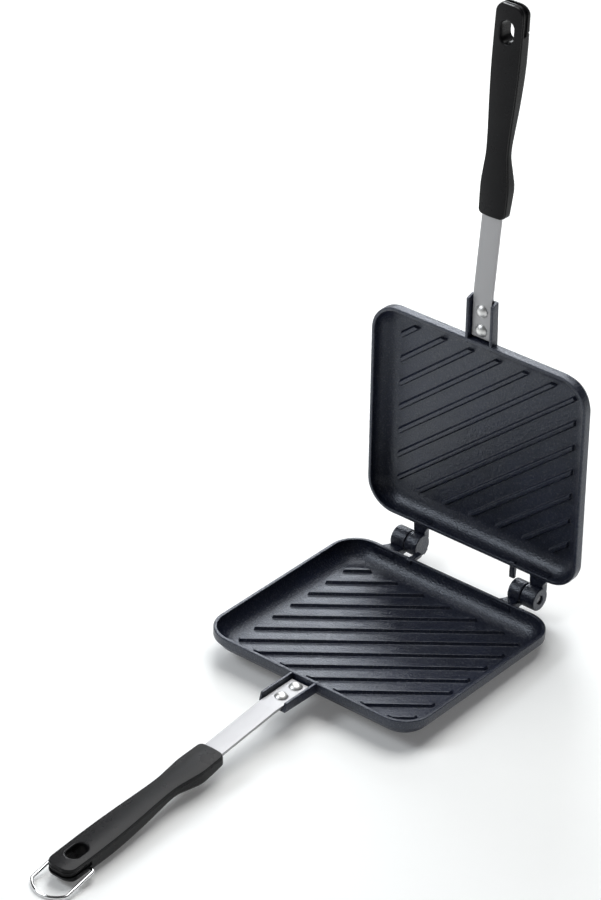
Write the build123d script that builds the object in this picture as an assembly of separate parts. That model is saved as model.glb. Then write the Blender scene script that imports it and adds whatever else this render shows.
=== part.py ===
"""Stovetop sandwich iron: two equal ribbed castings on a sideways pin hinge, two strap handles, a wire bail.

Millimetres, +Z up. The origin is the centre of the lower casting's flat base, X runs along the hinge and
the handles point to -Y. The lid stands open, as it does when the iron waits for its bread.
Both halves are made by the same functions: a lid piece is the lower piece turned over and swung open.
"""
from build123d import *
from math import cos, sin, radians
import os

# Casting
PLATE_W = 150.0          # over the rim, along the hinge
PLATE_D = 138.0          # over the rim, along the handles
PLATE_H = 14.0           # base to rim
CORNER_R = 18.5          # plan corner of the rim
RIM_W = 2.2              # flat land that meets the other casting
FLANGE_H = 5.5           # height of the upright band under the rim
FLANGE_LIP = 0.6         # how far the band stands out over the bowl
FLOOR_T = 2.6            # metal under the cooking floor
BOWL_R = 12.8            # outer curve from side to base
CAVITY_R = 10.6          # inner curve from side to cooking floor

# Ribs on the cooking floor
RIB_COUNT = 13
RIB_PITCH = 12.4         # square to the ribs
RIB_ANGLE = 40.2         # from the hinge line
RIB_W = 3.6
RIB_H = 1.9
RIB_TAPER = 20.0         # slope of the rib's side
RIB_SINK = 0.3           # root of the rib inside the floor
RIB_FIELD_R = 8.0        # plan corners of the field of ribs
RIB_MARGIN_X = 13.2      # rim edge to rib end, across the casting
RIB_MARGIN_Y = 13.6      # rim edge to rib end, along the casting

# Hinge
HINGE_BACK = 13.8        # hinge axis behind the rim
SEAM_X = 42.0            # where the two knuckles of a pair meet
KNUCKLE_R = 6.9
OUTER_KNUCKLE_W = 9.9    # knuckle with the running bore
INNER_KNUCKLE_W = 8.6    # knuckle that holds the pin
KNUCKLE_GAP = 0.5        # side play between the two
ARM_T = 5.2              # thickness of the arm that carries a knuckle
ARM_FLARE = 3.0          # widening of the arm's foot
NOSE_R = 7.9             # heel on the inner knuckle
NOSE_FROM = 16.0         # its two corners, degrees below the level line
NOSE_TO = 52.0
LUG_W = 3.6              # tab beside the other casting's inner knuckle
LUG_T = 3.3
LUG_DROP = 0.2           # its top below the rim
LUG_REACH = 5.8          # tab's end to the hinge axis
LUG_SIDE_GAP = 0.9       # tab to that knuckle's side
PIN_R = 2.5
PIN_GRIP = 6.4           # length pressed into the inner knuckle
PIN_RECESS = 1.1         # pin end below the outer knuckle's face
RUNNING_GAP = 0.06       # radial, pin in running bore
BORE_CHAMFER = 0.5
OPEN_ANGLE = 88.0        # how far the lid stands open from shut
CLOSING_GAP = 0.1        # left between the two rims when the iron is shut

# Handle socket cast on the front
SOCKET_L = 27.0
SOCKET_W = 18.6
SOCKET_WALL = 1.9
SOCKET_TOP = 0.3         # wall tops below the rim
SOCKET_FLOOR = 1.8       # metal under the strap
SOCKET_TIP_RISE = 0.7    # the socket's underside rises this much to its tip

# Strap
STRAP_W = 13.0
STRAP_T = 1.8
STRAP_TOP = 3.0          # strap's face below the rim
STRAP_INNER_GAP = 1.2    # strap end to the casting's side
STRAP_BEND = 31.0        # bend, out from the casting's side
BEND_R = 14.0
TANG_L = 84.0            # strap inside the grip
TANG_GAP = 0.06          # moulding round the strap

# Rivets
RIVET_R = 2.0
RIVET_HEAD_R = 3.5
RIVET_HEAD_H = 2.1
RIVET_TAIL_R = 3.1
RIVET_TAIL_H = 1.4
RIVET_FIRST = 6.3        # first rivet, out from the casting's side
RIVET_PITCH = 12.4
RIVET_GAP = 0.04         # radial, shank in its hole
TAIL_GAP = 0.1           # formed tail to the socket's sloping underside

# Grip
GRIP_START = 77.3        # grip's end face, out from the casting's side
GRIP_DROP = 6.0          # its face below the rim, there
GRIP_SLOPE = 4.2         # face away from the other grip
GRIP_L = 126.0
GRIP_COVER = 2.0         # moulding over the strap
CROWN_R = 36.0           # the face is a little round across the grip
BUTT_HALF_W, BUTT_T = 8.8, 8.4       # at the strap end
HUMP_AT, HUMP_HALF_W, HUMP_T = 19.0, 9.2, 10.1
WAIST_AT, WAIST_HALF_W, WAIST_T = 37.5, 7.2, 7.4
RISE_AT, RISE_HALF_W, RISE_T = 52.0, 7.5, 8.5
SWELL_AT, SWELL_HALF_W, SWELL_T = 89.0, 9.2, 10.7
END_HALF_W, END_T = 9.1, 10.2        # where the free end's curves begin
END_R = 6.5              # plan corners of the free end
END_ROLL = 7.5           # curve from the free end to the underside
END_FLAT = 4.0           # upright part of the free end, down from the face
BUTT_R = 3.0             # plan corners of the strap end
GRIP_EDGE_R = 2.8        # rounding of the underside's edges
EYE_FROM_END = 16.3      # hanging hole's middle to the free end
EYE_W = 8.6
EYE_L = 13.4
EYE_CHAMFER = 0.9
GROOVE_DEPTH = 1.2       # seat for the bail round the free end
GROOVE_W = 2.6
GROOVE_AT = 4.6          # centre of the seat under the face
NOTCH_R = 0.9            # small notch over the pivots in the underside's edges
NOTCH_L = 3.0            # how far it runs in from the side

# Bail
WIRE_R = 1.0
BAIL_HALF_W = 12.2       # wire centre at the sides
BAIL_LEG = 22.2          # pivot to the start of the bow
BAIL_BOW = 6.2           # how far the bow bulges
BAIL_CORNER_R = 2.4
BAIL_STUB = 5.2          # leg centre to the end of the pivot stub
STUB_GAP = 0.08          # radial, stub in its hole
STUB_END_GAP = 0.5
BAIL_ANGLE = 12.0        # how far the bail hangs below level
PIVOT_FROM_END = 16.2    # bail pivot to the free end
PIVOT_DROP = 7.2         # bail pivot under the face

# Places worked out from the sizes above
HALF_W = PLATE_W / 2
HALF_D = PLATE_D / 2
HINGE_Y = HALF_D + HINGE_BACK
HINGE_Z = PLATE_H + CLOSING_GAP / 2
HINGE_AXIS = Axis((0, HINGE_Y, HINGE_Z), (1, 0, 0))
TURN_AXIS = Axis((0, 0, HINGE_Z), (0, 1, 0))
STRAP_FACE_Z = PLATE_H - STRAP_TOP
STRAP_BACK_Z = STRAP_FACE_Z - STRAP_T
SOCKET_BASE_Z = STRAP_BACK_Z - SOCKET_FLOOR
GRIP_FACE_Z = PLATE_H - GRIP_DROP
EYE_AT = GRIP_L - EYE_FROM_END
PIVOT_AT = GRIP_L - PIVOT_FROM_END
EMBED = 3.0              # how far cast-on features run into the casting


def rounded_block(width, depth, radius, z_low, z_high):
    """Upright block with rounded plan corners, centred on the origin."""
    outline = Pos(0, 0, z_low) * RectangleRounded(width, depth, radius)
    return extrude(outline, amount=z_high - z_low)


def box_between(low, high):
    """Box from its low corner to its high corner."""
    size = [b - a for a, b in zip(low, high)]
    middle = [(a + b) / 2 for a, b in zip(low, high)]
    return Pos(*middle) * Box(*size)


def yz_prism(points, x_low, x_high):
    """Prism along X whose section is given by (y, z) points."""
    outline = Polyline(*[(x_low, y, z) for y, z in points], close=True)
    return extrude(make_face(outline), amount=x_high - x_low, dir=(1, 0, 0))


def x_cylinder(y, z, radius, x_low, x_high):
    """Cylinder along X."""
    middle = Pos((x_low + x_high) / 2, y, z)
    return middle * Rot(0, 90, 0) * Cylinder(radius, x_high - x_low)


def bowl():
    """Open tray: upright band under the rim, and a bowl that curves in to a flat base."""
    shell_w = PLATE_W - 2 * FLANGE_LIP
    shell_d = PLATE_D - 2 * FLANGE_LIP
    shell = rounded_block(shell_w, shell_d, CORNER_R - FLANGE_LIP, 0, PLATE_H)
    shell = fillet(shell.faces().sort_by(Axis.Z)[0].edges(), BOWL_R)
    band = rounded_block(PLATE_W, PLATE_D, CORNER_R, PLATE_H - FLANGE_H, PLATE_H)
    band = chamfer(band.faces().sort_by(Axis.Z)[0].edges(), FLANGE_LIP * 0.6)
    return shell + band


def cavity():
    """Space for the bread, from the cooking floor up through the rim."""
    cut_w = PLATE_W - 2 * RIM_W
    cut_d = PLATE_D - 2 * RIM_W
    space = rounded_block(cut_w, cut_d, CORNER_R - RIM_W, FLOOR_T, PLATE_H + 1)
    return fillet(space.faces().sort_by(Axis.Z)[0].edges(), CAVITY_R)


def rib_field():
    """Block that the ribs are cut from: its sides slope and run beside the casting's."""
    field_w = PLATE_W - 2 * RIB_MARGIN_X
    field_d = PLATE_D - 2 * RIB_MARGIN_Y
    outline = Pos(0, 0, FLOOR_T - RIB_SINK) * RectangleRounded(field_w, field_d, RIB_FIELD_R)
    return extrude(outline, amount=RIB_H + RIB_SINK, taper=RIB_TAPER)


def rib(offset):
    """One straight rib with sloping sides, longer than the field, sunk a little into the floor."""
    across = Vector(sin(radians(RIB_ANGLE)), -cos(radians(RIB_ANGLE))) * offset
    bar = Rectangle(2 * PLATE_W, RIB_W)
    place = Pos(across.X, across.Y, FLOOR_T - RIB_SINK) * Rot(0, 0, RIB_ANGLE)
    return extrude(place * bar, amount=RIB_H + RIB_SINK, taper=RIB_TAPER)


def ribs():
    """All the ribs, evenly spaced about the middle one and cut off at the edge of their field."""
    first = -(RIB_COUNT - 1) / 2
    field = rib_field()
    return [rib((first + i) * RIB_PITCH) & field for i in range(RIB_COUNT)]


def knuckle_arm(x_low, x_high, flare_to):
    """Arm from the casting's back to the hinge axis, flaring at its foot towards flare_to."""
    foot_y = HALF_D - EMBED
    side = x_low if flare_to < x_low else x_high
    plan = Polyline((x_low, foot_y), (x_high, foot_y), (x_high, HINGE_Y), (x_low, HINGE_Y), close=True)
    flare = Polyline((side, foot_y), (flare_to, foot_y), (flare_to, HALF_D),
                     (side, HALF_D + HINGE_BACK * 0.45), close=True)
    low_z = HINGE_Z - KNUCKLE_R
    arm = extrude(Pos(0, 0, low_z) * make_face(plan), amount=ARM_T)
    arm += extrude(Pos(0, 0, low_z) * make_face(flare), amount=ARM_T)
    return arm + x_cylinder(HINGE_Y, HINGE_Z, KNUCKLE_R, x_low, x_high)


def outer_knuckle():
    """Knuckle at the left with the running bore right through it."""
    x_high = -SEAM_X - KNUCKLE_GAP / 2
    x_low = -SEAM_X - OUTER_KNUCKLE_W
    return knuckle_arm(x_low, x_high, x_low - ARM_FLARE)


def outer_bore():
    """Running bore of the outer knuckle, eased at its outer mouth."""
    x_low = -SEAM_X - OUTER_KNUCKLE_W
    radius = PIN_R + RUNNING_GAP
    bore = x_cylinder(HINGE_Y, HINGE_Z, radius, x_low - 1, -SEAM_X + 1)
    mouth = Pos(x_low + BORE_CHAMFER / 2, HINGE_Y, HINGE_Z) * Rot(0, -90, 0)
    return bore + mouth * Cone(radius, radius + BORE_CHAMFER, BORE_CHAMFER)


def inner_knuckle():
    """Knuckle at the right that holds the pin, with a heel behind it."""
    x_low = SEAM_X - INNER_KNUCKLE_W
    x_high = SEAM_X - KNUCKLE_GAP / 2
    corners = [(HINGE_Y + NOSE_R * cos(radians(a)), HINGE_Z - NOSE_R * sin(radians(a)))
               for a in (NOSE_FROM, NOSE_TO)]
    heel = yz_prism([(HINGE_Y, HINGE_Z)] + corners, x_low, x_high)
    return knuckle_arm(x_low, x_high, x_low - ARM_FLARE) + heel


def inner_bore():
    """Blind hole of the inner knuckle that the pin is pressed into."""
    x_high = SEAM_X - KNUCKLE_GAP / 2
    return x_cylinder(HINGE_Y, HINGE_Z, PIN_R, x_high - PIN_GRIP, x_high + 1)


def lug():
    """Short tab at the left, beside the place of the lid's inner knuckle."""
    x_low = -SEAM_X + INNER_KNUCKLE_W + LUG_SIDE_GAP
    top = PLATE_H - LUG_DROP
    tab = box_between((x_low, HALF_D - EMBED, PLATE_H - LUG_T), (x_low + LUG_W, HINGE_Y - LUG_REACH, top))
    tip = tab.faces().sort_by(Axis.Y)[-1].edges().filter_by(Axis.X).sort_by(Axis.Z)[0]
    return chamfer(tip, LUG_T * 0.35)


def socket():
    """Channel on the front that the strap lies in, open at the top and at its tip."""
    back = -HALF_D + EMBED
    tip = -HALF_D - SOCKET_L
    top = PLATE_H - SOCKET_TOP
    low = SOCKET_BASE_Z
    side = [(back, low), (-HALF_D, low), (tip, low + SOCKET_TIP_RISE), (tip, STRAP_BACK_Z + 1.0),
            (tip + 1.6, top), (back, top)]
    body = yz_prism(side, -SOCKET_W / 2, SOCKET_W / 2)
    upright = body.edges().filter_by(Axis.Z).group_by(Axis.Y)[0]
    body = fillet(upright, 1.2)
    half = SOCKET_W / 2 - SOCKET_WALL
    return body - box_between((-half, tip - 1, STRAP_BACK_Z), (half, -HALF_D, PLATE_H + 1))


def rivet_places():
    """Y of the two rivets."""
    return [-HALF_D - RIVET_FIRST - i * RIVET_PITCH for i in range(2)]


def rivet_holes(radius):
    """Cutters for the rivet shanks."""
    return [Pos(0, y, PLATE_H / 2) * Cylinder(radius, PLATE_H * 2) for y in rivet_places()]


def casting():
    """Lower casting. The lid's is the same one turned over."""
    body = bowl() + outer_knuckle() + inner_knuckle() + lug() + socket()
    body = body - cavity() - outer_bore() - inner_bore()
    body = body + ribs()
    shanks = [h & box_between((-9, -HALF_D - SOCKET_L, SOCKET_BASE_Z - 1), (9, -HALF_D, PLATE_H))
              for h in rivet_holes(RIVET_R + RIVET_GAP)]
    return body - shanks


def strap_line(depth):
    """Side view of the strap's face, or of the surface that lies depth under it, from end to end."""
    slope = radians(GRIP_SLOPE)
    enter = (-HALF_D - GRIP_START, GRIP_FACE_Z - GRIP_COVER)
    tang_end = (enter[0] - TANG_L * cos(slope), enter[1] - TANG_L * sin(slope))
    inner = (-HALF_D - STRAP_INNER_GAP, STRAP_FACE_Z)
    bend = (-HALF_D - STRAP_BEND, STRAP_FACE_Z)
    return [(y, z - depth) for y, z in (inner, bend, enter, tang_end)]


def strap_blank(grow):
    """Bent strap without its holes, grown all round by grow."""
    section = strap_line(-grow) + strap_line(STRAP_T + grow)[::-1]
    blank = yz_prism(section, -STRAP_W / 2 - grow, STRAP_W / 2 + grow)
    bends = blank.edges().filter_by(Axis.X).sort_by(Axis.Y)
    bend_y = -HALF_D - STRAP_BEND
    chosen = [e for e in bends if abs(e.center().Y - bend_y) < 0.5]
    return fillet(chosen, BEND_R)


def strap():
    """Strap of the lower half."""
    bar = strap_blank(0)
    bar = bar - rivet_holes(RIVET_R + RIVET_GAP)
    inner = bar.faces().sort_by(Axis.Y)[-1].edges().filter_by(Axis.Z)
    return fillet(inner, 1.0)


def dome(radius, height, z, up):
    """Round rivet head: a slice of a ball that stands on z."""
    ball = (radius ** 2 + height ** 2) / (2 * height)
    centre = z - up * (ball - height)
    slab = Pos(0, 0, z + up * height / 2) * Cylinder(radius + 1, height)
    return (Pos(0, 0, centre) * Sphere(ball)) & slab


def rivet(y):
    """Rivet through the strap and the socket's floor, domed on both sides."""
    tail_z = SOCKET_BASE_Z + SOCKET_TIP_RISE * (-HALF_D - y) / SOCKET_L
    shank_mid = (STRAP_FACE_Z + tail_z) / 2
    shank = Pos(0, 0, shank_mid) * Cylinder(RIVET_R, STRAP_FACE_Z - tail_z + 0.8)
    head = dome(RIVET_HEAD_R, RIVET_HEAD_H, STRAP_FACE_Z, 1)
    tail = dome(RIVET_TAIL_R, RIVET_TAIL_H, tail_z - TAIL_GAP, -1)
    return Pos(0, y, 0) * (shank + head + tail)


def grip_frame():
    """Place of the grip: origin on its flat face at the strap end, -Y along it, Z out of the face."""
    return Pos(0, -HALF_D - GRIP_START, GRIP_FACE_Z) * Rot(GRIP_SLOPE, 0, 0)


def grip_plan(inset=0.0):
    """Outline of the grip seen square to its face, drawn in by inset."""
    corner_y = -(GRIP_L - END_R)
    tip = END_HALF_W - END_R
    edge = [(BUTT_HALF_W, 0), (HUMP_HALF_W, HUMP_AT), (WAIST_HALF_W, WAIST_AT), (RISE_HALF_W, RISE_AT),
            (SWELL_HALF_W, SWELL_AT), (END_HALF_W, -corner_y)]
    right = Spline([(w - inset, -s) for w, s in edge], tangents=[(0.1, -1), (-0.01, -1)])
    left = mirror(right, Plane.YZ)
    corner = CenterArc((tip, corner_y), END_R - inset, 270, 90)
    other = CenterArc((-tip, corner_y), END_R - inset, 180, 90)
    foot = Line((-tip, -(GRIP_L - inset)), (tip, -(GRIP_L - inset)))
    head = Line((-BUTT_HALF_W + inset, 0), (BUTT_HALF_W - inset, 0))
    plan = make_face([head, right, corner, foot, other, left])
    return fillet(plan.vertices().group_by(Axis.Y)[-1], BUTT_R)


def grip_side():
    """Outline of the grip seen from the side: face on top, curved underside, rolled free end."""
    roll_y = -(GRIP_L - END_ROLL)
    leave = (-1, 0.08)
    under = Spline([(0, -BUTT_T), (-HUMP_AT, -HUMP_T), (-WAIST_AT, -WAIST_T), (-RISE_AT, -RISE_T),
                    (-SWELL_AT, -SWELL_T), (roll_y, -END_T)], tangents=[(-1, -0.15), leave])
    roll = TangentArc((roll_y, -END_T), (-GRIP_L, -END_FLAT), tangent=leave)
    end = Line((-GRIP_L, -END_FLAT), (-GRIP_L, 0))
    face = Line((-GRIP_L, 0), (0, 0))
    butt = Line((0, 0), (0, -BUTT_T))
    outline = make_face([under, roll, end, face, butt])
    return Plane((0, 0, 0), x_dir=(0, 1, 0), z_dir=(1, 0, 0)) * outline


def grip_blank():
    """Grip without its hole and seats: the plan, the side view and the crown cut from one block."""
    depth = 2 * SWELL_T
    tall = extrude(Pos(0, 0, -depth) * grip_plan(), amount=2 * depth)
    wide = extrude(Pos(-depth, 0, 0) * grip_side(), amount=2 * depth, dir=(1, 0, 0))
    crown = Pos(0, 0, -CROWN_R) * Rot(90, 0, 0) * Cylinder(CROWN_R, 3 * GRIP_L)
    body = tall & wide & crown
    under = [e for e in body.edges() if e.bounding_box().max.Z < -0.3 * SWELL_T and not crosses(e)]
    return fillet(under, min(GRIP_EDGE_R, 0.93 * BUTT_R))


def crosses(edge):
    """True for an edge that runs straight across the grip between its two ends."""
    straight = abs(edge.tangent_at(0.5).X) > 0.99
    return straight and edge.center().Y < -1


def eye():
    """Hanging hole with an eased mouth in the flat face."""
    place = Pos(0, -EYE_AT, 0) * Rot(0, 0, 90)
    slot = place * SlotOverall(EYE_L, EYE_W)
    through = extrude(Pos(0, 0, -2 * SWELL_T) * slot, amount=3 * SWELL_T)
    mouth = place * SlotOverall(EYE_L + 2 * EYE_CHAMFER, EYE_W + 2 * EYE_CHAMFER)
    return through + extrude(mouth, amount=-EYE_CHAMFER, taper=45)


def bail_seat():
    """Groove round the free end, from one bail pivot to the other."""
    low = Pos(0, 0, -GROOVE_AT - GROOVE_W / 2)
    band = extrude(low * grip_plan(-1.0), amount=GROOVE_W)
    core = extrude(low * grip_plan(GROOVE_DEPTH), amount=GROOVE_W)
    wide = 2 * SWELL_HALF_W
    keep = box_between((-wide, -2 * GRIP_L, -SWELL_T), (wide, GROOVE_W / 2 - PIVOT_AT, 0))
    return (band - core) & keep


def stub_hole(side):
    """Blind pivot hole in one side of the grip."""
    inner = BAIL_HALF_W - BAIL_STUB - STUB_END_GAP
    span = sorted((side * inner, side * (SWELL_HALF_W + 1)))
    return x_cylinder(-PIVOT_AT, -PIVOT_DROP, WIRE_R + STUB_GAP, *span)


def notch(side):
    """Small notch across one edge of the underside, over the pivot hole."""
    span = sorted((side * (SWELL_HALF_W - NOTCH_L), side * (SWELL_HALF_W + 1)))
    return x_cylinder(-PIVOT_AT, -END_T - 0.1, NOTCH_R, *span)


def grip():
    """Moulded grip with its strap slot, hanging hole, bail seat and pivot holes."""
    body = grip_blank() - eye() - bail_seat()
    for side in (-1, 1):
        body = body - stub_hole(side) - notch(side)
    return grip_frame() * body - strap_blank(TANG_GAP)


def bail_pivot():
    """Middle of the bail's pivot line."""
    return (grip_frame() * Pos(0, -PIVOT_AT, -PIVOT_DROP)).position


def bail():
    """Bent wire: two stubs, two legs and a bow, hanging from the grip."""
    stub_x = BAIL_HALF_W - BAIL_STUB
    left = (-BAIL_HALF_W, -BAIL_LEG)
    right = (BAIL_HALF_W, -BAIL_LEG)
    wire = Wire([
        Line((-stub_x, 0), (-BAIL_HALF_W, 0)),
        Line((-BAIL_HALF_W, 0), left),
        ThreePointArc(left, (0, -BAIL_LEG - BAIL_BOW), right),
        Line(right, (BAIL_HALF_W, 0)),
        Line((BAIL_HALF_W, 0), (stub_x, 0)),
    ])
    corners = [v for v in wire.vertices() if abs(v.X) > BAIL_HALF_W - 0.1]
    wire = wire.fillet_2d(BAIL_CORNER_R, corners)
    section = Plane(wire @ 0, z_dir=wire % 0) * Circle(WIRE_R)
    body = sweep(section, path=wire)
    return Pos(*bail_pivot()) * Rot(BAIL_ANGLE, 0, 0) * body


def hinge_pin():
    """Pin pressed into the inner knuckle, free in the other casting's outer knuckle."""
    x_low = SEAM_X - KNUCKLE_GAP / 2 - PIN_GRIP
    x_high = SEAM_X + OUTER_KNUCKLE_W - PIN_RECESS
    pin = x_cylinder(HINGE_Y, HINGE_Z, PIN_R, x_low, x_high)
    return chamfer(pin.faces().sort_by(Axis.X)[-1].edges(), 0.4)


def on_lid(shape):
    """The same piece on the lid: turned over onto the lower half, then swung open."""
    shut = shape.rotate(TURN_AXIS, 180)
    return shut.rotate(HINGE_AXIS, -OPEN_ANGLE)


def main():
    """Make every piece once, place it on both halves and write it out."""
    inner_y, outer_y = rivet_places()
    half = {
        "plate": casting(),
        "strap": strap(),
        "inner_rivet": rivet(inner_y),
        "outer_rivet": rivet(outer_y),
        "grip": grip(),
        "hinge_pin": hinge_pin(),
    }
    nodes = {"lower_" + name: shape for name, shape in half.items()}
    nodes.update({"upper_" + name: on_lid(shape) for name, shape in half.items()})
    nodes["wire_bail"] = bail()
    os.makedirs("parts", exist_ok=True)
    for name, shape in nodes.items():
        export_step(shape, "parts/" + name + ".step")
    pivot = bail_pivot()
    print("hinge axis y z", round(HINGE_Y, 3), round(HINGE_Z, 3))
    print("bail pivot y z", round(pivot.Y, 3), round(pivot.Z, 3))


if __name__ == "__main__":
    main()
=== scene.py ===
"""Stovetop sandwich iron: its visible pieces, finishes, floor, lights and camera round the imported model.

Metres, +Z up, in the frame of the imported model: the origin is the centre of the lower pan's flat base,
X runs along the hinge and the lower handle points to -Y. Pieces are worked out in millimetres on the lower
half, and the lid's are the same ones turned over.
"""
import math

import bmesh
import bpy
import numpy as np
from mathutils import Matrix, Vector


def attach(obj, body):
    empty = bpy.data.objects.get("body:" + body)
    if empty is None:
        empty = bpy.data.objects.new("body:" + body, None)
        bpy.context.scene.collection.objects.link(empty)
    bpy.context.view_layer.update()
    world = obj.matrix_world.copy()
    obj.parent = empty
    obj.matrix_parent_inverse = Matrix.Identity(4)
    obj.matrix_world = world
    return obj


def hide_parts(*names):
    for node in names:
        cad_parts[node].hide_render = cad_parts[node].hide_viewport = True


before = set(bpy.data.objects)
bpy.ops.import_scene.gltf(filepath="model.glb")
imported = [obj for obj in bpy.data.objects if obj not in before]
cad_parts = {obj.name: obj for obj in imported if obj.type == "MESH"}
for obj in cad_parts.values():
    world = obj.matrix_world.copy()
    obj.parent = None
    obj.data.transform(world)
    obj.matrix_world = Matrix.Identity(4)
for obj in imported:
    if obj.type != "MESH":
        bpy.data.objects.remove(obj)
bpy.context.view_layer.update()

bl_info = {
    "name": "Sandwich iron",
    "version": (1, 0, 0),
    "blender": (4, 5, 0),
    "location": "3D View > Sidebar > Sandwich iron",
    "description": "Builds a ribbed stovetop sandwich iron round its packed frame",
    "category": "Object",
}

MM = 0.001

# Camera, fitted to the photo: place in metres, directions, focal length in the photo's pixels
PHOTO_H = 900
CAMERA_PLACE = (1.06260242, -1.44154975, 1.2008779)
CAMERA_BACK = (0.52757133, -0.6763061, 0.51408029)
CAMERA_RIGHT = (0.77535402, 0.63061555, 0.03391414)
CAMERA_FOCAL_PX = 3792.8
CAMERA_REACH = 20.0
SENSOR_MM = 36.0

# Pans, in millimetres and degrees as all that follow. EMBED is how far attached bars reach into the casting.
PAN_HALF_W, PAN_HALF_D, PAN_H, PAN_CORNER = 75.0, 69.0, 14.0, 18.5
BOWL_R, BOWL_TURN, CAVITY_R, FLOOR_Z, RIM_LAND = 12.8, 69.4, 10.6, 2.6, 2.2
BAND_LIP, BASE_RING, BASE_EDGE, FLOOR_EDGE, EMBED = 0.6, 14.6, 0.75, 0.4, 3.0
# (inset, height) up the rim's band, over the rim and down its inside
BAND = ((1.28, 8.42), (0.95, 8.46), (0.5, 8.48), (0.22, 8.57), (0.07, 8.75), (0, 9.05), (0, 11.0), (0, 13.3),
        (0.04, 13.58), (0.16, 13.82), (0.36, 13.95), (0.6, PAN_H), (1.65, PAN_H), (1.95, 13.94),
        (2.12, 13.78), (RIM_LAND, 13.5), (RIM_LAND, 13.25))

# Ribs, and the field that cuts them off
RIB_COUNT, RIB_PITCH, RIB_ANGLE, RIB_HALF_W, RIB_CORNER = 13, 12.4, 40.2, 1.8, 0.75
FIELD_HALF_W, FIELD_HALF_D, FIELD_CORNER, FIELD_SIDES = 61.8, 55.4, 8.0, 8
# (inset, height over the floor) from the eased foot to the top
RIB_PROFILE = ((-0.25, -0.02), (-0.02, 0.05), (0.1, 0.2), (0.64, 1.62), (0.71, 1.77), (0.82, 1.86),
               (0.98, 1.9))

# Hinge
HINGE_Y, HINGE_Z, LID_ANGLE = 82.8, 14.05, 88.0
KNUCKLE_R, KNUCKLE_EDGE, KNUCKLE_GAP, SEAM_X = 6.9, 0.55, 0.5, 42.0
OUTER_W, INNER_W = 9.9, 8.6
BORE_R, BORE_CHAMFER, BORE_EASE = 2.56, 0.5, 0.12
ARM_T, ARM_FLARE, FLARE_L, ARM_EDGE, ARM_SIDE_GAP, ARM_LIFT = 5.2, 3.0, 6.2, 0.9, 0.05, 0.03
ARM_FOOT, ARM_FOOT_L, ARM_FLARE_BACK, ARM_THIN, ARM_THIN_FROM, ARM_THIN_TO = 0.9, 1.5, 0.4, 0.9, 74, 79
ARM_ROWS = (66, 68, 69, 70, 71, 72, 73, 74, 75.2, 77, 79.5)
HEEL_R, HEEL_FROM, HEEL_TO, HEEL_CORNER, HEEL_EDGE, HEEL_GAP = 7.9, 16.0, 52.0, 0.7, 0.45, 0.03
TAB_X, TAB_W, TAB_LOW, TAB_TOP, TAB_END, TAB_EDGE = -32.5, 3.6, 10.7, 13.8, 77.0, 0.6
TAB_RISE, TAB_RISE_L = 1.1, 1.4
PIN_R, PIN_START, PIN_END, PIN_BACK_EDGE = 2.5, 35.35, 50.8, 0.2
# (past the end, radius) along the pin's chamfer and crown
PIN_TIP = ((-0.45, PIN_R), (-0.3, PIN_R - 0.06), (-0.06, PIN_R - 0.32), (-0.02, PIN_R - 0.5), (0.08, 1.0),
           (0.1, 0.1))

# Sockets, straps and rivets; places along a handle count outward from the pan's centre
SOCKET_HALF, SOCKET_WALL, SOCKET_TIP, SOCKET_EDGE, SOCKET_TIP_EDGE = 9.3, 1.9, 96.0, 0.55, 0.4
SOCKET_LOW, SOCKET_TOP, SOCKET_FLOOR, SOCKET_RISE, SOCKET_UNDER = 7.4, 13.7, 9.2, 0.7, 8.6
SLANT, SLANT_FROM_Z, SLANT_H, SLANT_FROM, SLANT_TO = 1.6, 10.2, 3.5, 90, 95.5
STRAP_HALF, STRAP_T, STRAP_FACE_Z, STRAP_ROUND = 6.5, 1.8, 11.0, 0.3
STRAP_START, STRAP_BEND, STRAP_SLOPE, STRAP_L, STRAP_STEPS = 70.2, 100.0, 6.16, 84, 840
STRAP_ROWS, BEND_EASE, BEND_ROWS = (3, 82, 30), 1.2, (-1.3, 1.3, 7)
STRAP_TIP_EDGE, STRAP_TIP_THIN = 0.5, 0.4
RIVET_PLACES = {"inner": 75.3, "outer": 87.7}
RIVET_R, HEAD_R, HEAD_H, TAIL_R, TAIL_H = 2.0, 4.1, 2.2, 3.1, 1.4
TAIL_SINK, SHANK_DROP, HEAD_BACK, HEAD_SINK, HEAD_TUCK, POLE = 0.1, 0.3, 0.25, 0.02, 0.985, 1.0

# Grips: s runs along a grip from its butt; p is the progress along half its outline, and is s on the side
GRIP_START, GRIP_FACE_Z, GRIP_SLOPE, GRIP_L = 146.3, 8.0, 4.2, 126.0
GRIP_WIDTHS = ((0, 8.8), (10, 9.15), (19, 9.2), (28, 8.2), (37.5, 7.2), (45, 7.2), (52, 7.5), (70, 8.5),
               (89, 9.2), (104, 9.25), (120, 9.1))
GRIP_DEPTHS = ((0, 8.4), (10, 9.5), (19, 10.1), (28, 8.8), (37.5, 7.4), (44, 7.6), (52, 8.5), (70, 9.9),
               (89, 10.7), (104, 10.65), (119, 10.2))
CROWN_R, BUTT_R, END_R, END_FLAT, SLOPE_STEP = 36.0, 3.0, 6.5, 1.5, 0.2
FACE_EDGE, LEDGE, LEDGE_AT = 0.45, 0.32, 2.3
TURN_AT, CAP_AT = GRIP_L - END_R, GRIP_L - END_FLAT
EYE_AT, EYE_HALF_L, EYE_HALF_W, EYE_EASE, EYE_FOOT, EYE_FROM = 109.7, 6.7, 4.3, 0.9, 0.25, 100.5
SEAT_FROM, SEAT_TO, PIVOT_AT, PIVOT_DROP = 108.2, 108.9, 109.8, 7.2
NICK_R, NICK_BELOW, NICK_FROM, NICK_TO = 0.9, -8.0, 6.0, 7.2
UNDER_R, UNDER_R_END, UNDER_R_BUTT, UNDER_END_DEPTH, LEAST_STEP = 2.8, 3.4, -2.0, 8.9, 0.02
BUTT_PART, END_PART = 20, 100
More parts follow.
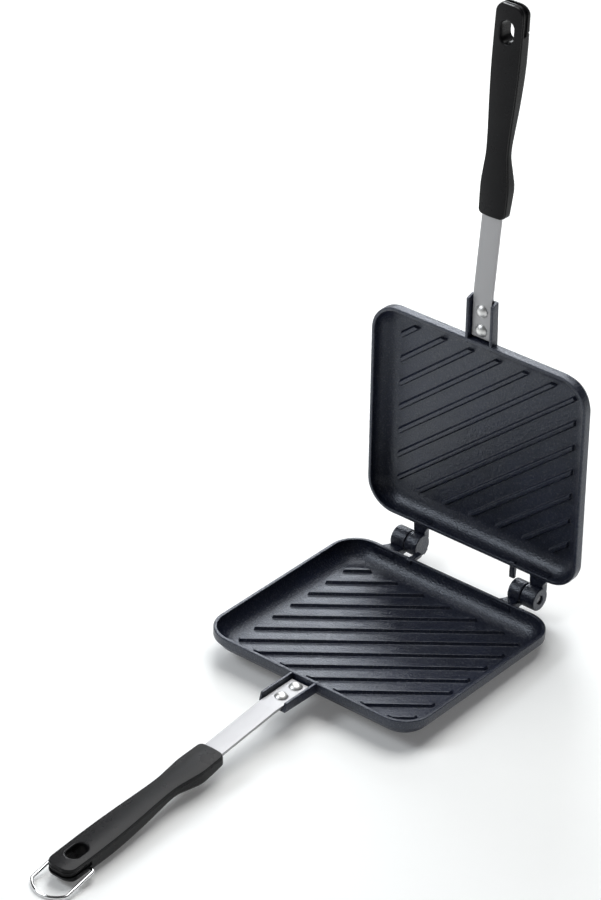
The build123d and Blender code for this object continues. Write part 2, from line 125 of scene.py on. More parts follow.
# (from, to, count) of the rows' progress, closer together at the corners and the bail's seat
GRIP_ROWS = ((0, END_FLAT, 4), (END_FLAT, BUTT_R, 8), (BUTT_R, 99.6, 65), (EYE_FROM, 107.5, 9),
             (108, 111.6, 25), (112.2, TURN_AT, 9), (TURN_AT, CAP_AT, 15), (CAP_AT, GRIP_L, 4))
# (progress, place on the middle line that the row starts from) on the face and on the underside
TOP_MIDDLE = ((0, 0.7), (3, 4.0), (12, 12), (94, 94), (100.4, 101.9), (119.6, 117.6), (124.5, 124.0),
              (126, 125.3))
LOW_MIDDLE = ((0, 1.2), (3, 5.0), (12, 12), (94, 94), (100.4, 102.9), (119.6, 116.6), (126, 119.3))
# (distance below the face, share of the ledge, depth of the bail's seat) of the lines round the side
SIDE_LINES = ((LEDGE_AT - 0.12, 1, 0), (LEDGE_AT, 0.9, 0), (LEDGE_AT + 0.06, 0.18, 0),
              (LEDGE_AT + 0.18, 0, 0), (3.1, 0, 0), (3.28, 0, 0.06), (3.36, 0, 1.0), (3.6, 0, 1.2),
              (5.6, 0, 1.2), (5.84, 0, 1.0), (5.92, 0, 0.06), (6.05, 0, 0))
# (wider than the hole, height over the crown) down the hole's wall
EYE_WALL = ((EYE_EASE, 0), (EYE_EASE - 0.3, -0.1), (EYE_EASE - 0.62, -0.32), (0.06, -0.8), (0, -1.1),
            (0, -4.0), (0, -7.5), (0, -10.2))

# Bail, swung down by BAIL_ANGLE from the grip's own line
WIRE_R, BAIL_HALF, BAIL_LEG, BAIL_BOW, BAIL_CORNER, BAIL_STUB = 1.0, 12.2, 22.2, 6.2, 2.4, 5.2
BAIL_ANGLE, LEG_FROM, LEG_TO, LEG_ROWS = 12.0, 2, 1, 6

# Meshing
LEAST_PAN_CORNER, LEAST_CORNER, SHORTEST_SIDE, END_RING = 0.3, 0.12, 0.3, 0.25
NEARLY_NOTHING = 1e-6
MERGE_M, DEGENERATE_M = 2e-6, 1e-6
SHARP_PLAIN, SHARP_STRAP, SHARP_GRIP = 38.0, 30.0, 40.0


def arc(centre, radius, start, end, count):
    """Points of an arc: the centre plus the radius times (cos a, sin a), a from start to end in degrees."""
    a = np.radians(np.linspace(start, end, count))
    return np.asarray(centre) + np.stack([np.cos(a), np.sin(a)], -1) * radius


def path(*runs):
    """Runs of points put end to end."""
    return np.concatenate([np.atleast_2d(np.asarray(run, float)) for run in runs])


def through(places, table):
    """Smooth value at each place: a cubic between table points whose slope at a point is that of its
    neighbours, (2t^3 - 3t^2 + 1) y0 + (t^3 - 2t^2 + t) m0 + (3t^2 - 2t^3) y1 + (t^3 - t^2) m1."""
    x, y = np.array(table, float).T
    slope = np.gradient(y, x)
    at = np.clip(places, x[0], x[-1])
    i = np.clip(np.searchsorted(x, at) - 1, 0, len(x) - 2)
    step = x[i + 1] - x[i]
    t = (at - x[i]) / step
    return ((2 * t ** 3 - 3 * t ** 2 + 1) * y[i] + (t ** 3 - 2 * t ** 2 + t) * step * slope[i]
            + (3 * t ** 2 - 2 * t ** 3) * y[i + 1] + (t ** 3 - t ** 2) * step * slope[i + 1])


def ease(value, low, high):
    """0 below low, 1 above high, and 3t^2 - 2t^3 between."""
    t = np.clip((np.asarray(value, float) - low) / (high - low), 0, 1)
    return t * t * (3 - 2 * t)


def unit(v):
    """Vectors divided by their lengths."""
    return v / np.linalg.norm(v, axis=-1, keepdims=True)


def rounded_rings(half_w, half_d, corner, profile, per_corner=16):
    """Profile of (inset, height) carried round a rounded rectangle.
    A point is its corner's centre plus (corner radius - inset) times (cos a, sin a)."""
    inset, height = np.asarray(profile, float).T[:, :, None, None]
    radius = np.maximum(corner - inset, LEAST_PAN_CORNER)
    angle = np.radians(np.arange(4)[:, None] * 90 + np.linspace(0, 90, per_corner + 1))
    side_x, side_y = np.array([1, -1, -1, 1])[:, None], np.array([1, 1, -1, -1])[:, None]
    x = side_x * (half_w - inset - radius) + radius * np.cos(angle)
    y = side_y * (half_d - inset - radius) + radius * np.sin(angle)
    return np.stack([x, y, height + 0 * x], -1).reshape(len(profile), -1, 3)


def drawn_in(points, inset):
    """Outline of straight sides, each moved inward by inset: a corner is where its two moved sides cross."""
    run = unit(np.roll(points, -1, 0) - points)
    normals = np.stack([run[:, 1], -run[:, 0]], -1)
    before = np.roll(normals, 1, 0)
    reach = (normals * points).sum(1) - inset
    pairs = np.stack([before, normals], 1)
    return np.linalg.solve(pairs, np.stack([np.roll(reach, 1), reach], -1)[..., None])[..., 0]


def outline_rings(points, corner, profile, steps=5):
    """Profile of (inset, height) carried round an outline of straight sides whose corners become arcs.
    An arc of radius r starts r tan(turn / 2) before its corner; r is the corner's radius less the inset, or
    plus it in a corner that turns the other way."""
    rings = []
    for inset, height in profile:
        p = drawn_in(np.asarray(points, float), inset)
        into, out = unit(p - np.roll(p, 1, 0)), unit(np.roll(p, -1, 0) - p)
        turn = np.arctan2(into[:, 0] * out[:, 1] - into[:, 1] * out[:, 0], (into * out).sum(1))
        side = np.sign(turn)
        r = np.maximum(corner - side * inset, LEAST_CORNER)
        left = np.stack([-into[:, 1], into[:, 0]], -1)
        centre = p - into * (r * np.tan(abs(turn) / 2))[:, None] + left * (side * r)[:, None]
        start = np.arctan2(-left[:, 1] * side, -left[:, 0] * side)
        a = start[:, None] + turn[:, None] * np.linspace(0, 1, steps + 1)
        flat = centre[:, None] + r[:, None, None] * np.stack([np.cos(a), np.sin(a)], -1)
        flat = flat.reshape(-1, 2)
        rings.append(np.column_stack([flat, np.full(len(flat), height)]))
    return np.stack(rings)


def along_x(points):
    """(u, v, h) read as (y, z, x)."""
    return points[..., [2, 0, 1]]


def along_handle(points):
    """(u, v, h) read as (x, z, -y)."""
    return points[..., [0, 2, 1]] * [1, -1, 1]


def rounded_start(start, edge, steps=4):
    """(inset, place) profile of a bar's first end: its flat, then the quarter round
    (edge (1 - sin a), start + edge (1 - cos a))."""
    a = np.linspace(0, np.pi / 2, steps + 1)
    quarter = np.stack([edge * (1 - np.sin(a)), start + edge * (1 - np.cos(a))], -1)
    return path((edge + END_RING, start), quarter)


def rounded_end(end, edge):
    """The same profile turned round, for a bar's last end."""
    return rounded_start(0, edge)[::-1] * [1, -1] + [0, end]


def block_profile(start, end, edge):
    """(inset, place) profile of a bar from start to end with both ends' edges rounded."""
    return path(rounded_start(start, edge), rounded_end(end, edge))


def turned(profile, centre, axis, steps=56):
    """Profile of (place along the axis, radius) turned about the axis through the centre:
    radius (cos a, sin a)."""
    along, radius = np.asarray(profile, float).T[:, :, None]
    a = np.linspace(0, 2 * np.pi, steps, endpoint=False)
    u, v, w = radius * np.cos(a), radius * np.sin(a), along + 0 * a
    points = np.stack([w, u, v] if axis == "X" else [u, v, w], -1)
    return points + np.asarray(centre, float)


def skin(rings, wrap=False):
    """Faces over rings of points, each joined to the next; the two ends closed flat, or wrapped to each
    other."""
    m, n = rings.shape[:2]
    i, j = np.meshgrid(np.arange(m if wrap else m - 1), np.arange(n), indexing="ij")
    k, up = (j + 1) % n, (i + 1) % m
    faces = np.stack([i * n + j, i * n + k, up * n + k, up * n + j], -1).reshape(-1, 4).tolist()
    if not wrap:
        faces += [list(range(n))[::-1], list(range((m - 1) * n, m * n))]
    return rings.reshape(-1, 3), faces


def sheet(grid):
    """Faces over an open grid of points."""
    m, n = grid.shape[:2]
    i, j = np.meshgrid(np.arange(m - 1), np.arange(n - 1), indexing="ij")
    faces = np.stack([i * n + j, i * n + j + 1, (i + 1) * n + j + 1, (i + 1) * n + j], -1)
    return grid.reshape(-1, 3), faces.reshape(-1, 4).tolist()


def joined(parts):
    """Several (points, faces) as one."""
    starts = np.cumsum([0] + [len(points) for points, _ in parts])
    faces = [[k + start for k in face] for (_, group), start in zip(parts, starts) for face in group]
    return np.concatenate([points for points, _ in parts]), faces


def onto_lid(points):
    """A lower piece's points on the lid: turned over about the hinge's height, then swung open about the
    hinge."""
    x, y, z = points.T
    swing = np.radians(LID_ANGLE)
    out, drop = y - HINGE_Y, HINGE_Z - z
    return np.stack([-x, HINGE_Y + out * np.cos(swing) + drop * np.sin(swing),
                     HINGE_Z - out * np.sin(swing) + drop * np.cos(swing)], -1)


def pan_rings():
    """Pan without its ribs: the base, the bowl's arc, the upright band, the rim and the arc down to the
    floor."""
    low_arc = arc((BOWL_R + BAND_LIP, BOWL_R), BOWL_R, 270, 270 - BOWL_TURN, 13)
    bowl = arc((RIM_LAND + CAVITY_R, FLOOR_Z + CAVITY_R), CAVITY_R, 180, 270, 13)
    profile = path((BASE_RING, 0), (BOWL_R + BASE_EDGE, 0), low_arc, BAND, bowl,
                   (RIM_LAND + CAVITY_R + FLOOR_EDGE, FLOOR_Z))
    return rounded_rings(PAN_HALF_W, PAN_HALF_D, PAN_CORNER, profile)


def crossing_outline(normals, reach):
    """Corners, anticlockwise, of the convex outline n.p <= reach: the crossings inside every line."""
    i, j = np.triu_indices(len(reach), 1)
    pairs, limits = np.stack([normals[i], normals[j]], 1), np.stack([reach[i], reach[j]], -1)
    meet = abs(np.linalg.det(pairs)) > NEARLY_NOTHING
    points = np.linalg.solve(pairs[meet], limits[meet][..., None])[..., 0]
    points = points[(points @ normals.T <= reach + NEARLY_NOTHING).all(1)]
    spoke = points - points.mean(0)
    return points[np.argsort(np.arctan2(spoke[:, 1], spoke[:, 0]))]


def without_short_sides(points, inset):
    """Outline less the sides that vanish when it is drawn in by inset: drawing in takes
    inset tan(turn / 2) off a side at each end, with tan(turn / 2)^2 = (1 - cos turn) / (1 + cos turn)."""
    run = np.roll(points, -1, 0) - points
    length, way = np.linalg.norm(run, axis=1), unit(run)
    cosine = (way * np.roll(way, 1, 0)).sum(1)
    loss = np.sqrt((1 - cosine) / np.maximum(1 + cosine, NEARLY_NOTHING))
    short = length < inset * (loss + np.roll(loss, -1)) + SHORTEST_SIDE
    if not short.any():
        return points
    k = np.argmin(np.where(short, length, np.inf))
    after = (k + 1) % len(points)
    rest = np.delete(points, [k, after], 0)
    merged = np.insert(rest, k if after else len(rest), (points[k] + points[after]) / 2, 0)
    return without_short_sides(merged, inset)


def rib_parts():
    """The ribs: the bars |p.across - offset| <= half width, cut by the field's sides and slanted corners."""
    a = np.radians(RIB_ANGLE)
    across = np.array([np.sin(a), -np.cos(a)])
    around = np.radians(np.arange(FIELD_SIDES) * 360 / FIELD_SIDES)
    field = np.stack([np.cos(around), np.sin(around)], -1)
    corner = np.array([FIELD_HALF_W - FIELD_CORNER, FIELD_HALF_D - FIELD_CORNER])
    field_reach = abs(field) @ corner + FIELD_CORNER
    normals = np.vstack([across, -across, field])
    offsets = (np.arange(RIB_COUNT) - (RIB_COUNT - 1) / 2) * RIB_PITCH
    parts = []
    for offset in offsets:
        reach = np.concatenate([[offset + RIB_HALF_W, RIB_HALF_W - offset], field_reach])
        outline = without_short_sides(crossing_outline(normals, reach), RIB_PROFILE[-1][0])
        parts.append(skin(outline_rings(outline, RIB_CORNER, RIB_PROFILE) + [0, 0, FLOOR_Z]))
    return parts


def knuckle_profile(start, end, bore=None):
    """(place, radius) profile of a knuckle with rounded edges, solid or with a bore."""
    inset, place = block_profile(start, end, KNUCKLE_EDGE).T
    outer = np.stack([place, KNUCKLE_R - inset], -1)
    if bore is None:
        return outer
    return path((start + BORE_CHAMFER, bore), (start, bore + BORE_CHAMFER), outer, (end, bore + BORE_EASE),
                (end - BORE_EASE, bore))


def arm_part(x_low, x_high):
    """Arm from the casting's back into a knuckle: a rounded bar whose one side eases out to its foot."""
    y = np.array(ARM_ROWS)
    foot = ARM_FOOT * (1 - ease(y, PAN_HALF_D, PAN_HALF_D + ARM_FOOT_L))
    flare = ARM_FLARE * (1 - ease(y, PAN_HALF_D - ARM_FLARE_BACK, PAN_HALF_D + FLARE_L))
    low, high = x_low + ARM_SIDE_GAP - flare - foot, x_high - ARM_SIDE_GAP + foot
    z_low = HINGE_Z - KNUCKLE_R + ARM_LIFT
    z_high = HINGE_Z - KNUCKLE_R + ARM_T - ARM_THIN * ease(y, ARM_THIN_FROM, ARM_THIN_TO)
    angle = np.radians(np.arange(4)[:, None] * 90 + np.linspace(0, 90, 5)).ravel()
    right, top = np.repeat([1, 0, 0, 1], 5), np.repeat([1, 1, 0, 0], 5)
    x = np.where(right, high[:, None] - ARM_EDGE, low[:, None] + ARM_EDGE) + ARM_EDGE * np.cos(angle)
    z = np.where(top, (z_high - ARM_EDGE)[:, None], z_low + ARM_EDGE) + ARM_EDGE * np.sin(angle)
    return skin(np.stack([x, y[:, None] + 0 * x, z], -1))


def heel_part(x_low, x_high, axis):
    """Heel behind the inner knuckle: a wedge from the axis between two angles below level."""
    a, b = np.radians([HEEL_FROM, HEEL_TO])
    wedge = [(0, 0), (HEEL_R * np.cos(b), -HEEL_R * np.sin(b)), (HEEL_R * np.cos(a), -HEEL_R * np.sin(a))]
    profile = block_profile(x_low + HEEL_GAP, x_high - HEEL_GAP, HEEL_EDGE)
    return skin(along_x(outline_rings(wedge, HEEL_CORNER, profile)) + axis)


def tab_part():
    """Tab beside the left knuckles: a rounded bar whose underside rises at its end."""
    section = [(TAB_X, TAB_LOW), (TAB_X + TAB_W, TAB_LOW), (TAB_X + TAB_W, TAB_TOP), (TAB_X, TAB_TOP)]
    profile = block_profile(-TAB_END, EMBED - PAN_HALF_D, TAB_EDGE)
    tab = along_handle(outline_rings(section, TAB_EDGE, profile))
    low = tab[..., 2] < (TAB_LOW + TAB_TOP) / 2
    tab[..., 2] += np.where(low, TAB_RISE * ease(tab[..., 1], TAB_END - TAB_RISE_L, TAB_END), 0)
    return skin(tab)


def hinge_parts():
    """Outer knuckle with its bore, inner knuckle, heel, tab and both arms."""
    outer = -SEAM_X - OUTER_W, -SEAM_X - KNUCKLE_GAP / 2
    inner = SEAM_X - INNER_W, SEAM_X - KNUCKLE_GAP / 2
    axis = (0, HINGE_Y, HINGE_Z)
    return [skin(turned(knuckle_profile(*outer, BORE_R), axis, "X"), wrap=True),
            skin(turned(knuckle_profile(*inner), axis, "X")), heel_part(*inner, axis), tab_part(),
            arm_part(*outer), arm_part(*inner)]


def socket_rise(out):
    """How far a socket's underside has risen at this place along the handle."""
    return SOCKET_RISE * np.clip((out - PAN_HALF_D) / (SOCKET_TIP - PAN_HALF_D), 0, 1)


def socket_part():
    """Channel for the strap: a U section carried along the handle, its tip slanted and its underside
    rising."""
    half, inner = SOCKET_HALF, SOCKET_HALF - SOCKET_WALL
    section = [(-half, SOCKET_LOW), (half, SOCKET_LOW), (half, SOCKET_TOP), (inner, SOCKET_TOP),
               (inner, SOCKET_FLOOR), (-inner, SOCKET_FLOOR), (-inner, SOCKET_TOP), (-half, SOCKET_TOP)]
    rows = np.concatenate([[PAN_HALF_D - EMBED], np.linspace(PAN_HALF_D - 1, SLANT_FROM, 7)])
    profile = path(np.stack([0 * rows, rows], -1), rounded_end(SOCKET_TIP, SOCKET_TIP_EDGE))
    points = along_handle(outline_rings(section, SOCKET_EDGE, profile))
    out, z = -points[..., 1], points[..., 2]
    points[..., 1] += SLANT * np.clip((z - SLANT_FROM_Z) / SLANT_H, 0, 1) * ease(out, SLANT_FROM, SLANT_TO)
    points[..., 2] += np.where(z < SOCKET_UNDER, socket_rise(out), 0)
    return skin(points)


def strap_part():
    """Strap: its rounded section carried along a line whose heading turns at the bend."""
    s = np.linspace(0, STRAP_L, STRAP_STEPS + 1)
    bend = STRAP_BEND - STRAP_START
    heading = np.radians(STRAP_SLOPE) * ease(s, bend - BEND_EASE, bend + BEND_EASE)
    step = STRAP_L / STRAP_STEPS
    y, z = -STRAP_START - np.cumsum(np.cos(heading)) * step, STRAP_FACE_Z - np.cumsum(np.sin(heading)) * step
    rows = np.sort(np.concatenate([np.linspace(*STRAP_ROWS), bend + np.linspace(*BEND_ROWS)]))
    profile = path(rounded_start(step, STRAP_TIP_EDGE) * [STRAP_TIP_THIN, 1], np.stack([0 * rows, rows], -1))
    section = [(-STRAP_HALF, -STRAP_T), (STRAP_HALF, -STRAP_T), (STRAP_HALF, 0), (-STRAP_HALF, 0)]
    u, v, h = np.moveaxis(outline_rings(section, STRAP_ROUND, profile), -1, 0)
    turn = np.interp(h, s, heading)
    return skin(np.stack([u, np.interp(h, s, y) - v * np.sin(turn), np.interp(h, s, z) + v * np.cos(turn)],
                         -1))


def dome(radius, height):
    """Radius (r^2 + h^2) / 2h of the ball that a dome is sliced from, and its half angle in degrees."""
    ball = (radius ** 2 + height ** 2) / (2 * height)
    return ball, np.degrees(np.arcsin(radius / ball))


def rivet_part(out):
    """Rivet: a domed tail, the shank and a domed head, turned about the shank."""
    tail_z = SOCKET_LOW + socket_rise(out) - TAIL_SINK
    (head_ball, head_half), (tail_ball, tail_half) = dome(HEAD_R, HEAD_H), dome(TAIL_R, TAIL_H)
    tail = arc((0, tail_z - TAIL_H + tail_ball), tail_ball, 270 + POLE, 270 + tail_half, 9)
    head = arc((0, STRAP_FACE_Z + HEAD_H - head_ball), head_ball, 90 - head_half, 90 - POLE, 13)
    head[0] *= [HEAD_TUCK, 1]
    shank = [(RIVET_R, tail_z), (RIVET_R, STRAP_FACE_Z - SHANK_DROP),
             (HEAD_R - HEAD_BACK, STRAP_FACE_Z - HEAD_SINK)]
    return skin(turned(path(tail, shank, head)[:, ::-1], (0, -out, 0), "Z"))


def pin_part():
    """Hinge pin: a turned bar with a chamfered, slightly crowned end."""
    tip = [(PIN_END + past, radius) for past, radius in PIN_TIP]
    profile = [(PIN_START, PIN_R - PIN_BACK_EDGE), (PIN_START, PIN_R), *tip]
    return skin(turned(profile, (0, HINGE_Y, HINGE_Z), "X"))


def bail_part():
    """Bail: a circle carried along stubs, legs and bow, its points p + r (n cos a + up sin a), swung down
    about the pivot. The bow's radius is (half^2 + bulge^2) / (2 bulge)."""
    stub, side, r = BAIL_HALF - BAIL_STUB, BAIL_HALF - BAIL_CORNER, BAIL_CORNER
    bow_r = (BAIL_HALF ** 2 + BAIL_BOW ** 2) / (2 * BAIL_BOW)
    bow_y = -BAIL_LEG - BAIL_BOW + bow_r
    drop = np.sqrt((bow_r - r) ** 2 - side ** 2)
    lean = np.degrees(np.arctan2(drop, side))
    leg_end = bow_y - drop
    leg = np.linspace(-r - LEG_FROM, leg_end + LEG_TO, LEG_ROWS)
    line = path((-stub, 0), (-side, 0), arc((-side, -r), r, 90, 180, 9)[1:],
                np.stack([0 * leg - BAIL_HALF, leg], -1), arc((-side, leg_end), r, 180, 180 + lean, 7),
                arc((0, bow_y), bow_r, 180 + lean, 360 - lean, 30)[1:],
                arc((side, leg_end), r, 360 - lean, 360, 7)[1:],
                np.stack([0 * leg + BAIL_HALF, leg[::-1]], -1), arc((side, -r), r, 0, 90, 9), (stub, 0))
    way = unit(np.gradient(line, axis=0))
    a = np.linspace(0, 2 * np.pi, 20, endpoint=False)
    side_way = np.stack([-way[:, 1], way[:, 0], 0 * way[:, 0]], -1)
    rings = np.column_stack([line, 0 * line[:, 0]])[:, None] + WIRE_R * (
        side_way[:, None] * np.cos(a)[:, None] + np.array([0, 0, 1.0]) * np.sin(a)[:, None])
    t = np.radians(BAIL_ANGLE)
    x, y, z = np.moveaxis(rings, -1, 0)
    swung = np.stack([x, y * np.cos(t) - z * np.sin(t), y * np.sin(t) + z * np.cos(t)], -1)
    return skin(swung + grip_place(0.0, PIVOT_AT, -PIVOT_DROP))


def grip_place(x, s, z):
    """Point x across, s along and z out of a grip's face, in the lower half's frame."""
    t = np.radians(GRIP_SLOPE)
    return np.stack([x, -GRIP_START - s * np.cos(t) - z * np.sin(t),
                     GRIP_FACE_Z - s * np.sin(t) + z * np.cos(t)], -1)


def grip_outline(p):
    """Outline point and outward direction at progress p: end face, corner arc, side w(s), corner arc and
    end face."""
    w = through(p, GRIP_WIDTHS)
    ahead, behind = through(p + SLOPE_STEP, GRIP_WIDTHS), through(p - SLOPE_STEP, GRIP_WIDTHS)
    slope = (ahead - behind) / (2 * SLOPE_STEP)
    w_butt = through(BUTT_R, GRIP_WIDTHS) - BUTT_R
    w_end = GRIP_WIDTHS[-1][1] - END_R
    first = np.radians(90 * (1 - np.clip((p - END_FLAT) / (BUTT_R - END_FLAT), 0, 1)))
    last = np.radians(90 * np.clip((p - TURN_AT) / (CAP_AT - TURN_AT), 0, 1))
    butt, end = p < BUTT_R, p > TURN_AT
    x = np.where(butt, w_butt * np.clip(p / END_FLAT, 0, 1) + BUTT_R * np.cos(first) * (p >= END_FLAT), w)
    s = np.where(butt, BUTT_R - BUTT_R * np.sin(first), p)
    x = np.where(end, w_end * np.clip((GRIP_L - p) / END_FLAT, 0, 1) + END_R * np.cos(last), x)
    s = np.where(end, TURN_AT + END_R * np.sin(last), s)
    nx = np.where(butt, np.cos(first), np.where(end, np.cos(last), 1))
    ns = np.where(butt, -np.sin(first), np.where(end, np.sin(last), -slope))
    return np.stack([x, s], -1), unit(np.stack([nx, ns], -1))


def eye_outline(p, radius):
    """Half of the hanging hole's outline, a slot of this radius, at progress p from EYE_FROM to TURN_AT."""
    straight = EYE_HALF_L - EYE_HALF_W
    quarter = np.pi / 2 * radius
    run = np.clip((p - EYE_FROM) / (TURN_AT - EYE_FROM), 0, 1) * (2 * quarter + 2 * straight)
    a = (np.clip(run, 0, quarter) + np.clip(run - quarter - 2 * straight, 0, quarter)) / radius
    slide = np.clip(run - quarter, 0, 2 * straight) - straight
    return np.stack([radius * np.sin(a), EYE_AT + slide - radius * np.cos(a)], -1)


def crown(x):
    """Height of a grip's face over its edge plane: -x^2 / 2R."""
    return -x ** 2 / (2 * CROWN_R)


def grip_part():
    """Grip: rows run from the hole or the middle line over the crowned face, the sharp face edge, the side
    with the bail's seat and the rounded underside, back to the hole or the middle line. A rounding of radii
    (rh, rv) is (rh (1 - cos a), rv (1 - sin a)) in from its corner."""
    p = np.unique(np.concatenate([np.linspace(*run) for run in GRIP_ROWS]))
    outline, normal = grip_outline(p)
    inward = -normal[:, None]
    eye = (p >= EYE_FROM) & (p <= TURN_AT)

    def started(table, wider):
        """Where the rows start: on the hole's outline, or on the middle line as the table says."""
        middle = np.stack([0 * p, np.interp(p, *np.transpose(table))], -1)
        return np.where(eye[:, None], eye_outline(p, EYE_HALF_W + wider), middle)

    face_rim = outline - (FACE_EDGE + LEDGE) * normal
    f = np.linspace(0, 1, 12)[None, :, None]
    face = started(TOP_MIDDLE, EYE_EASE)[:, None] * (1 - f) + face_rim[:, None] * f
    face = np.concatenate([face, crown(face[..., :1])], -1)

    a = np.radians(np.linspace(90, 0, 6)[1:])
    edge = outline[:, None] + (LEDGE + FACE_EDGE * (1 - np.cos(a)))[None, :, None] * inward
    edge_z = crown(face_rim[:, :1]) - FACE_EDGE * (1 - np.sin(a))
    edge = np.concatenate([edge, edge_z[..., None]], -1)

    s = outline[:, 1]
    at_end = np.clip(normal[:, 1], 0, 1) ** 2 * (s > END_PART)
    at_butt = np.clip(-normal[:, 1], 0, 1) ** 2 * (s < BUTT_PART)
    depth = through(s, GRIP_DEPTHS)
    rh = UNDER_R + UNDER_R_END * at_end + UNDER_R_BUTT * at_butt
    z_round = -depth + UNDER_R + (depth - UNDER_END_DEPTH) * at_end + UNDER_R_BUTT * at_butt
    down, ledge, cut = np.transpose(SIDE_LINES)
    z_side = np.concatenate([np.broadcast_to(-down, (len(p), len(down))), z_round[:, None]], 1)
    z_side = np.maximum(z_side, z_round[:, None] + LEAST_STEP * np.arange(len(down), -1, -1))
    inset = LEDGE * ledge + ease(s, SEAT_FROM, SEAT_TO)[:, None] * cut
    inset = np.concatenate([inset, 0 * s[:, None]], 1)
    side = np.concatenate([outline[:, None] + inset[..., None] * inward, z_side[..., None]], -1)

    a = np.radians(np.linspace(0, 90, 10)[1:])
    turn_in = outline[:, None] + (rh[:, None] * (1 - np.cos(a)))[..., None] * inward
    base_z = -through(turn_in[..., 1], GRIP_DEPTHS)
    turn_z = z_round[:, None] + (base_z - z_round[:, None]) * np.sin(a)
    turn_in = np.concatenate([turn_in, turn_z[..., None]], -1)

    f = np.linspace(0, 1, 9)[None, 1:, None]
    base = turn_in[:, -1:, :2] * (1 - f) + started(LOW_MIDDLE, EYE_FOOT)[:, None] * f
    base = np.concatenate([base, -through(base[..., 1:], GRIP_DEPTHS)], -1)
    grid = np.concatenate([face, edge, side, turn_in, base], 1)
    nick = np.sqrt(np.clip(NICK_R ** 2 - (grid[..., 1] - PIVOT_AT) ** 2, 0, None))
    grid[..., 2] += np.where(grid[..., 2] < NICK_BELOW, nick * ease(grid[..., 0], NICK_FROM, NICK_TO), 0)

    foot = eye_outline(p[eye], EYE_HALF_W + EYE_FOOT)
    walls = [np.column_stack([foot, -through(foot[:, 1], GRIP_DEPTHS)])]
    for wider, z in EYE_WALL[::-1]:
        ring = eye_outline(p[eye], EYE_HALF_W + wider)
        walls.append(np.column_stack([ring, crown(ring[:, 0]) + z]))
    halves = []
    for sign in (1, -1):
        for part in (grid, np.stack(walls, 1)):
            points, faces = sheet(part * [sign, 1, 1])
            halves.append((grip_place(*points.T), faces))
    return joined(halves)


class Port:
    """A shader socket that takes part in arithmetic: each operation adds one Math node."""

    def __init__(self, shader, socket):
        self.shader = shader
        self.socket = socket

    def __add__(self, other):
        return self.shader.add("ShaderNodeMath", {"operation": "ADD"}, [self, other])

    def __mul__(self, other):
        return self.shader.add("ShaderNodeMath", {"operation": "MULTIPLY"}, [self, other])

    def step(self, low, high):
        """0 below low, 1 above high, smooth between."""
        settings = {"interpolation_type": "SMOOTHSTEP"}
        return self.shader.add("ShaderNodeMapRange", settings, [self, low, high, 0.0, 1.0])

    def mix(self, low, high):
        """Value from low, where this is 0, to high, where it is 1."""
        return self * (high - low) + low


class Shader:
    """The node tree of one material, or of the world."""

    def __init__(self, name, tree=None):
        if tree is None:
            self.material = bpy.data.materials.new(name)
            self.material.use_nodes = True
            tree = self.material.node_tree
        self.tree = tree
        self.tree.nodes.clear()

    def add(self, kind, settings=None, values=(), output=0):
        """New node: settings are its properties, values fill its sockets by order or by name."""
        node = self.tree.nodes.new(kind)
        for key, value in (settings or {}).items():
            setattr(node, key, value)
        for key, value in values.items() if isinstance(values, dict) else enumerate(values):
            socket = node.inputs[key]
            if isinstance(value, Port):
                self.tree.links.new(value.socket, socket)
            else:
                socket.default_value = value
        return Port(self, node.outputs[output]) if len(node.outputs) else None

    def own(self):
        """The piece's own metres, as they lie on the lower half."""
        return self.add("ShaderNodeAttribute", {"attribute_name": "own"}, output="Vector")

    def split(self, vector, axis):
        """One coordinate of a vector."""
        return self.add("ShaderNodeSeparateXYZ", None, {"Vector": vector}, output=axis)

    def noise(self, where, scale, detail=2.0, rough=0.5, stretch=None):
        """Noise value from 0 to 1; scale is in turns per metre, stretch squeezes it by axis."""
        if stretch is not None:
            where = self.add("ShaderNodeMapping", {"vector_type": "POINT"},
                             {"Vector": where, "Scale": stretch})
        values = {"Vector": where, "Scale": scale, "Detail": detail, "Roughness": rough}
        return self.add("ShaderNodeTexNoise", {"noise_dimensions": "3D"}, values, output="Fac")

    def tint(self, fac, low, high):
        """Colour between low and high."""
        low, high = ((*c, 1.0) if isinstance(c, tuple) else c for c in (low, high))
        # A Mix node has its factor at 0 and its two colours at 6 and 7; its colour comes out at 2
        return self.add("ShaderNodeMix", {"data_type": "RGBA", "blend_type": "MIX"},
                        {0: fac, 6: low, 7: high}, output=2)

    def bump(self, height, distance, strength):
        """Normal bent by a height in shares of the distance."""
        return self.add("ShaderNodeBump", None,
                        {"Height": height, "Distance": distance, "Strength": strength})

    def finish(self, **sockets):
        """Principled surface with these sockets; names have _ for a space."""
        values = {key.replace("_", " "): value for key, value in sockets.items()}
        surface = self.add("ShaderNodeBsdfPrincipled", None, values)
        self.add("ShaderNodeOutputMaterial", None, {"Surface": surface})
        return self.material


COAT_PIT = (0.004, 0.005, 0.008)
COAT_SHINE = (0.86, 0.91, 1.0, 1.0)
GRIP_FLECK = (0.05, 0.05, 0.052)
# (colour, roughness)
RIVET_STEEL = (0.86, 0.86, 0.85), 0.42
PIN_STEEL = (0.2, 0.2, 0.21), 0.34
WIRE_STEEL = (0.84, 0.84, 0.85), 0.1


def scaled(colour, share):
    """Colour darkened to a share of itself."""
    return tuple(share * c for c in colour)


